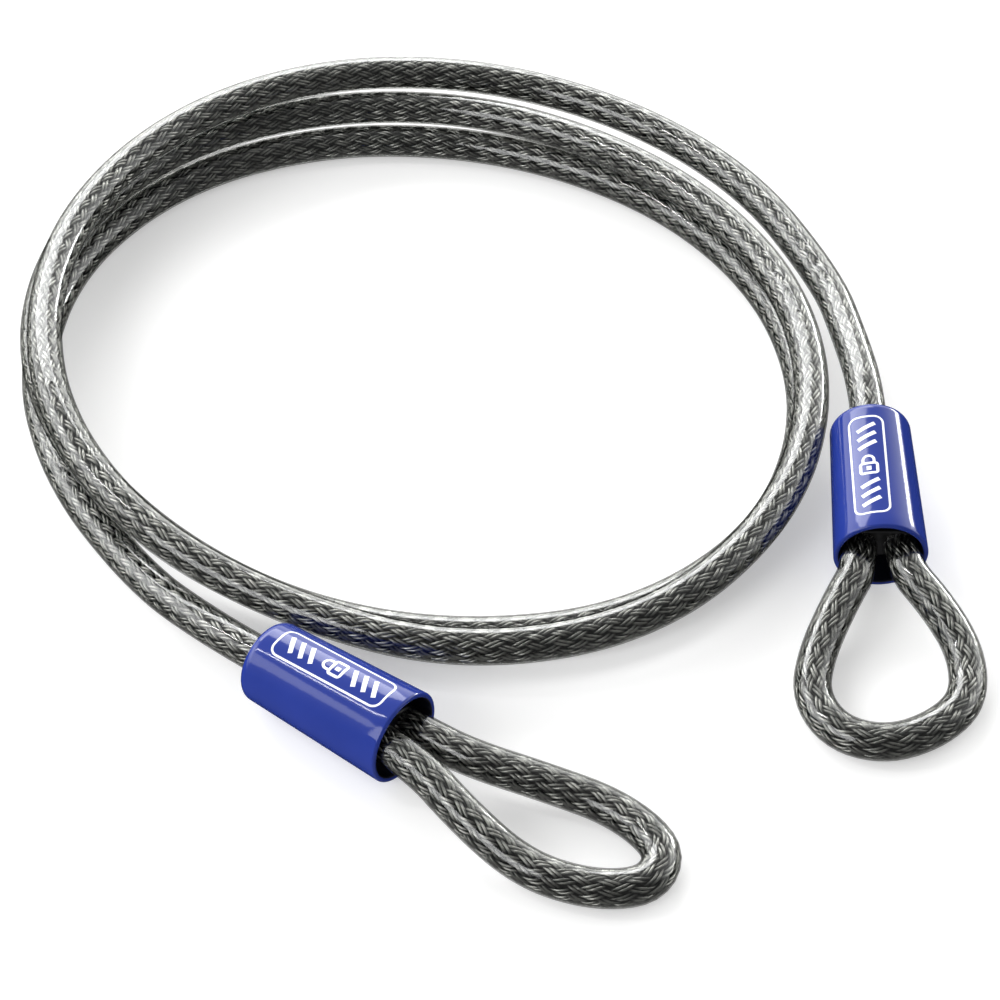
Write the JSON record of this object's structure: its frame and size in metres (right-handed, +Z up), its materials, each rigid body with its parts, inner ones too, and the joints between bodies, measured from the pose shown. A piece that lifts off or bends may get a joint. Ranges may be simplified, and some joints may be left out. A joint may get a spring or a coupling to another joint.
{
  "type": "cable lock",
  "caption": "Coiled double-loop security cable of braided steel in a clear jacket, with a crimped eye under a turning cup-shaped cover at each end.",
  "frame": {"origin": "on the floor, in the middle of the coiled cable's bounding box", "axes": "+Z up, +Y from the eyes towards the far side of the coil, +X towards the side where eye B lies"},
  "size_m": [0.2659, 0.3131, 0.0312],
  "materials": {
    "jacket": "clear smoke-tinted vinyl, glossy",
    "steel_wire": "braided bright wire",
    "fibre": "laid fibre strands",
    "ferrule": "crimped, satin",
    "cover": "blue vinyl, glossy"
  },
  "bodies": {
    "cable": {"coil_jacket": "jacket", "eye_a_jacket": "jacket", "eye_b_jacket": "jacket", "steel_braid": "steel_wire", "fibre_core": "fibre", "ferrule_a": "ferrule", "ferrule_b": "ferrule"},
    "cover_a": {"cover_a": "cover"},
    "cover_b": {"cover_b": "cover"}
  },
  "joints": [
    {"name": "cover_a_turn", "type": "hinge", "parent": "cable", "child": "cover_a", "pos_m": [-0.0553, -0.0827, 0.01143], "axis": [0.7982, -0.6015, 0.0314], "continuous": true},
    {"name": "cover_b_turn", "type": "hinge", "parent": "cable", "child": "cover_b", "pos_m": [0.1087, -0.0014, 0.01572], "axis": [-0.0174, -0.998, -0.061], "continuous": true}
  ]
}
